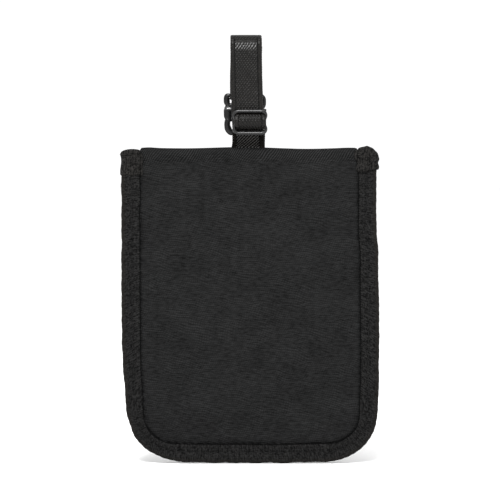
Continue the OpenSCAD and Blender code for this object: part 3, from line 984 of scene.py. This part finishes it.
def make_bight():
    """The webbing's bulge in front of the slider, and its end folded round the centre bar."""
    back = ADJ_BACK - 0.15
    middle = np.array([0, ADJ_Z])
    path = route(spline(middle + [
        (back, HALF_ADJ_H - 2.1), (-6.3, 2.75), (-7.25, 1.5), (-7.4, -0.1), (-6.9, -1.4), (-5.7, -2.3),
        (back + 0.3, 2.3 - HALF_ADJ_H)]))
    width = 11.2 + 1.1 * smooth((-6.5 - path[:, 0]) / 0.6)
    webbing("adjuster_bight_webbing", path, 0.05, width, 0.75, 6.0, "adjuster", "adjuster_bight")
    y = ADJ_FRONT - 0.3
    fold = route(spline(middle + [
        (back, 0.95), (y + 0.3, 0.95), (y, 0), (y + 0.3, -0.95), (back, -0.95)], 0.3))
    webbing("adjuster_end_webbing", fold, 0.0, 10.8, 0.45, 7.0, "adjuster", "adjuster_end_fold")


def make_hook():
    """Closed ring for the webbing, thick boss at the left, and the open catch bar below."""
    r, mid = HOOK_BAR, HOOK_MID
    left, right = hook_low[0], hook_high[0]
    ring_low = mid + 1.45
    ring = rounded_rect(left + 0.85, right - 0.1 - r, ring_low, HOOK_TOP, 1.5)
    ring_w = 1 + 0.6 * smooth((left + 1.8 - ring[:, 0]) / 0.8) + 0.1 * (ring[:, 1] < ring_low + 0.3)
    upper = smooth((ring[:, 1] - ring_low) / (HOOK_TOP - ring_low))
    ring[:, 1] += 0.5 * upper * smooth((left + 2.6 - ring[:, 0]) / 1.6)
    ring[:, 1] -= 1.1 * (1 - upper) * smooth((ring[:, 0] - 1.0) / 3.0)
    bar_x = np.linspace(left + 0.5, right - r, 60)
    ends = np.clip(bar_x - left + 0.05, 0.3, 1) ** 0.5
    nub = xyz(right - r, HOOK_Y, mid - np.array([0, 1.2, 2.0, 2.3]))
    nub_r = r * np.array([1, 1, 0.85, 0.5])
    boss = spline(np.array([left, mid]) + [
        (1.5, 1.2), (1.3, 0), (1.3, -1.6), (1.4, -3.2), (1.65, -4.3), (1.7, -4.9)], 0.2)
    taper = 1 - 0.2 * smooth((mid - 2.8 - boss[:, 1]) / 1.2) - 0.25 * smooth((boss[:, 1] - mid + 0.4) / 0.8)
    catch = spline([(left + 1.45, mid - 3.9), (left + 1.15, mid - 4.9), (left + 1.05, mid - 6.2),
                    (left + 1.45, CATCH_Z + 1.1), (left + 2.4, CATCH_Z - 0.1),
                    (left + 4.2, CATCH_Z - 0.3), (0, CATCH_Z), (right - r, CATCH_Z)], 0.25)
    catch_w = r + 0.42 * smooth((left + 4.0 - catch[:, 0]) / 1.6)
    catch_w += 0.18 * bump(catch[:, 1], CATCH_Z + 1.2, 0.9) * (catch[:, 0] < left + 3.6)
    tip = np.ones(len(catch))
    tip[-4:] = (0.97, 0.88, 0.7, 0.4)
    parts = [
        tube(in_plane(ring, HOOK_Y), r * ring_w, r, sides=16, closed=True),
        tube(xyz(bar_x, HOOK_Y, mid - 0.05), 0.86 * ends, 0.8 * ends, sides=18),
        tube(nub, nub_r, nub_r, sides=14),
        tube(in_plane(boss, HOOK_Y), 1.62 * taper, r * 0.95, sides=18),
        tube(in_plane(catch, HOOK_Y), catch_w * tip, r * tip, sides=16)]
    piece("release_hook", parts, hook_mat, "strap_hook", "rear_leg")


def make_hook_shoulder():
    """A squared bar end whose flat face looks up and forward."""
    tilt, size = math.radians(22), 0.74
    turn = np.linspace(0, 2 * PI, 28, endpoint=False)
    a, b = size * power(np.cos(turn), 0.45), size * power(np.sin(turn), 0.45)
    x = hook_low[0] + np.array([-0.1, 0.0, 0.2, 1.8, 3.3, 4.0])
    grow = np.array([0.6, 0.85, 1, 1, 1, 0.9])[:, None]
    y = HOOK_Y - 0.3 + grow * (a * math.cos(tilt) + b * math.sin(tilt))
    z = HOOK_MID + 0.05 + grow * (b * math.cos(tilt) - a * math.sin(tilt))
    shoulder = loft(xyz(x[:, None], y, z), x)
    # a lighter copy of the hook's coating: painted highlight
    piece("hook_shoulder", [shoulder], shoulder_mat, "strap_hook", "rear_leg")


# ---------- zip ----------

ZIP_SIDES = ((1, "upper"), (-1, "lower"))


def make_zip_tapes():
    span = HALF_W - 1.6
    for side, place in ZIP_SIDES:
        node = f"zip_tape_{place}"
        low, high = box_mm(node)
        near, far = (low[2], high[2])[::side]
        x, z = np.meshgrid(np.linspace(-span, span, 130), np.linspace(near - side * 0.1, far, 16))
        y = TAPE_Y - 0.04 + 0.05 * wobble(x, z, 8, side)
        tape = thick_sheet(xyz(warp(x, z)[0], y, z), OUTWARD, 0.4, z, x)
        piece(f"{place}_zip_tape", [tape], zip_tape_mat, node)


def make_zip_coils():
    pitch, wire = 1.27, 0.3  # one turn of the coil, and its wire's radius
    reach = (coil_up_high[2] - ZIP_Z) / 2
    for side, place in ZIP_SIDES:
        node = f"zip_coil_{place}"
        low, high = box_mm(node)
        x0, x1 = low[0] + 0.4, high[0] - 0.4
        turns = int((x1 - x0) / pitch) - 1
        a = np.linspace(0, 2 * PI * turns, turns * 16)
        half_turn = pitch / 2 if side < 0 else 0
        depth, height = power(np.sin(a), 0.7), power(np.cos(a), 0.7)
        path = xyz(x0 + pitch * a / (2 * PI) + half_turn, TAPE_Y + 0.62 + 0.34 * depth,
                   ZIP_Z + side * (reach - 0.15 + (reach - wire + 0.1) * height))
        coil = tube(path, wire, wire, ACROSS, sides=7)
        piece(f"{place}_zip_coil", [coil], coil_mat, node)


def make_zip_stitches():
    span = HALF_W - TAPE_W - 0.4
    stitches = []
    for z in (REAR_BAND_Z + 1.5, REAR_PANEL_Z - 1.5):
        line = xyz(np.linspace(-span, span, 120), FOLD_R + 0.02, z)
        stitches += row_of_stitches(line, OUTWARD, 0.05, 2.6, 2.0, 0.17)
    piece("zip_lockstitch", stitches, thread_mat, "zip_stitching")


def bevel_prism(line, y0, y1, edge=0.22):
    """A flat plate over a closed line in X and Z.

    Its rims are rounded where the line runs counter-clockwise, and flare where it runs clockwise.
    """
    along = unit(np.roll(line, -1, 0) - np.roll(line, 1, 0))
    inward = np.stack([-along[:, 1], along[:, 0]], 1)
    steps = np.radians(np.linspace(0, 90, 4))
    off = edge * (1 - np.sin(steps))
    rise = edge * (1 - np.cos(steps))
    y = np.concatenate([y0 + rise, y1 - rise[::-1]])
    rings = line + inward * np.concatenate([off, off[::-1]])[:, None, None]
    return loft(xyz(rings[..., 0], y[:, None], rings[..., 1]), y)


def make_zip_slider():
    """Two plates, the rails and post between them, and the bridge that holds the pull."""
    size = (slider_high - slider_low)[::2] / 2
    nose, low_y, top_y = size[0], slider_low[1], PIN_Y - 0.8
    half = size * [(1, 0.9 / size[1]), (0.93, 0.72), (0.45, 1), (-0.35, 0.93), (-0.85, 0.72), (-1, 0.45)]
    shape = np.vstack([half, half[::-1] * (1, -1)])
    upper = smooth_outline(SLIDER_AT + shape)[::-1]
    lower = smooth_outline(SLIDER_AT + shape * (0.98, 0.88))[::-1]
    rail = size * [(0.8, 0.78), (0.4, 0.97), (-0.4, 0.92), (-0.85, 0.72),
                   (-0.85, 0.58), (-0.3, 0.76), (0.4, 0.8), (0.75, 0.62)]
    post = [(nose - 0.3, 0), (nose - 1.2, 0.24), (nose - 2.5, 0), (nose - 1.2, -0.24)]
    bridge = spline(np.array([SLIDER_X, top_y]) + [
        (-2.55, -0.3), (-2.5, 1.2), (-1.7, 1.85), (0, 1.95), (1.7, 1.85), (2.5, 1.2), (2.55, -0.3)], 0.25)
    parts = [
        bevel_prism(upper, top_y - 0.7, top_y),
        bevel_prism(lower, low_y + 0.1, TAPE_IN_Y - 0.3),
        bevel_prism(smooth_outline(SLIDER_AT + post)[::-1], low_y + 0.4, top_y - 0.3, 0.05),
        tube(xyz(*bridge.T, ZIP_Z), 0.33, 0.7, UPWARD, sides=14)]
    for side in (-1, 1):
        line = smooth_outline(SLIDER_AT + rail * (1, side))[::side]
        parts.append(bevel_prism(line, TAPE_Y + 0.35, top_y - 0.5, 0.15))
    piece("zip_slider", parts, zip_metal_mat, "zip_slider_body", "zip_slider")


def make_zip_pull():
    """The hinge pin, two arms, and a flat tab swept round the grip's hole."""
    pin = xyz(SLIDER_X, PIN_Y, np.linspace(ZIP_Z - 1.7, ZIP_Z + 1.7, 12))
    parts = [tube(pin, 0.45, 0.45)]
    for side in (-1, 1):
        arm = spline(SLIDER_AT + [(0.1, side * 1.4), (-2.4, side * 1.4), (-4.4, side * 1.75)], 0.3)
        parts.append(tube(in_plane(arm, PIN_Y), 0.4, 0.45))
    reach, start, half_t = 20.0, 3.6, 0.45
    turn = np.linspace(0, 2 * PI, 72, endpoint=False)
    x = power(np.cos(turn), 0.38)
    z = (2.75 + 0.25 * (x < 0)) * power(np.cos(turn - PI / 2), 0.38)
    outer = np.stack([x * (reach - start) / 2 - (reach + start) / 2, z], 1)
    hole = arc((3.4 - reach, 0), 1.4, 0, 360, 73)[:-1]
    section = [(1.0, 0.6), (0.985, 0.9), (0.95, 1.0), (0.08, 1.0), (0.03, 0.9), (0.0, 0.6)]
    section += [(share, -y) for share, y in section[::-1]] + section[:1]
    rings = [in_plane(SLIDER_AT + hole + (outer - hole) * share, PIN_Y + y * half_t)
             for share, y in section]
    parts.append(loft(rings, np.arange(len(rings)) * 0.8, closed=True))
    piece("zip_pull", parts, zip_metal_mat, "zip_pull_tab", "zip_pull")


# ---------- scene ----------

def aim(obj, place, target):
    """Puts a lamp or camera at a place and turns it to the target."""
    obj.location = place
    obj.rotation_euler = (Vector(target) - Vector(place)).to_track_quat("-Z", "Y").to_euler()


def make_floor():
    bpy.ops.mesh.primitive_plane_add(size=6, location=(0, 0, (BOTTOM - 0.15) * MM))
    floor = bpy.context.object
    floor.name = "floor"
    pale = Shade("pale_floor", 0.9, 0.1)
    pale.inputs["Base Color"].default_value = grey(0.93)
    floor.data.materials.append(pale.mat)


def soft_light(name, place, size, watts, target=(0, 0, -0.09)):
    data = bpy.data.lights.new(name, "AREA")
    data.shape = "RECTANGLE"
    data.size, data.size_y = size
    data.energy = watts
    aim(add_object(name, data), place, target)


def make_studio():
    scene = bpy.context.scene
    world = bpy.data.worlds.new("studio")
    world.use_nodes = True
    colour, strength = world.node_tree.nodes["Background"].inputs[:2]
    colour.default_value = (1, 1, 1, 1)
    strength.default_value = 1.075
    scene.world = world
    scene.view_settings.view_transform = "Standard"
    scene.view_settings.look = "None"
    soft_light("key", (-0.12, -0.8, 0.66), (0.34, 0.26), 15)
    soft_light("strip", (-0.05, -0.42, 0.62), (0.5, 0.08), 3.4, target=(0, 0, 0))
    soft_light("fill", (0.8, -0.55, 0.1), (0.4, 0.6), 2)


def make_camera():
    view_mm, distance, rise = 193.5, 1.5, math.radians(3.0)
    target = Vector((0, 0, -0.0817))
    data = bpy.data.cameras.new("camera")
    data.angle = 2 * math.atan(view_mm * MM / 2 / distance)
    camera = add_object("camera", data)
    aim(camera, target + Vector((0, -distance * math.cos(rise), distance * math.sin(rise))), target)
    bpy.context.scene.camera = camera


make_camera()
make_studio()
make_floor()
front_relief = settled_relief(11.0, 0.6)
rear_relief = settled_relief(21.0, 0.4)
make_front_panel()
make_rear_panel()
make_lining()
make_binding()
make_binding_stitches()
make_binding_end("left_tape_end", LEFT_END, LEFT_CREASES, "binding_end_left", 31.0)
make_binding_end("right_tape_end", RIGHT_END, RIGHT_CREASES, "binding_end_right", 41.0)
make_loop()
make_rear_leg()
make_anchor_loop()
make_adjuster()
make_bight()
make_hook()
make_hook_shoulder()
make_zip_tapes()
make_zip_coils()
make_zip_stitches()
make_zip_slider()
make_zip_pull()
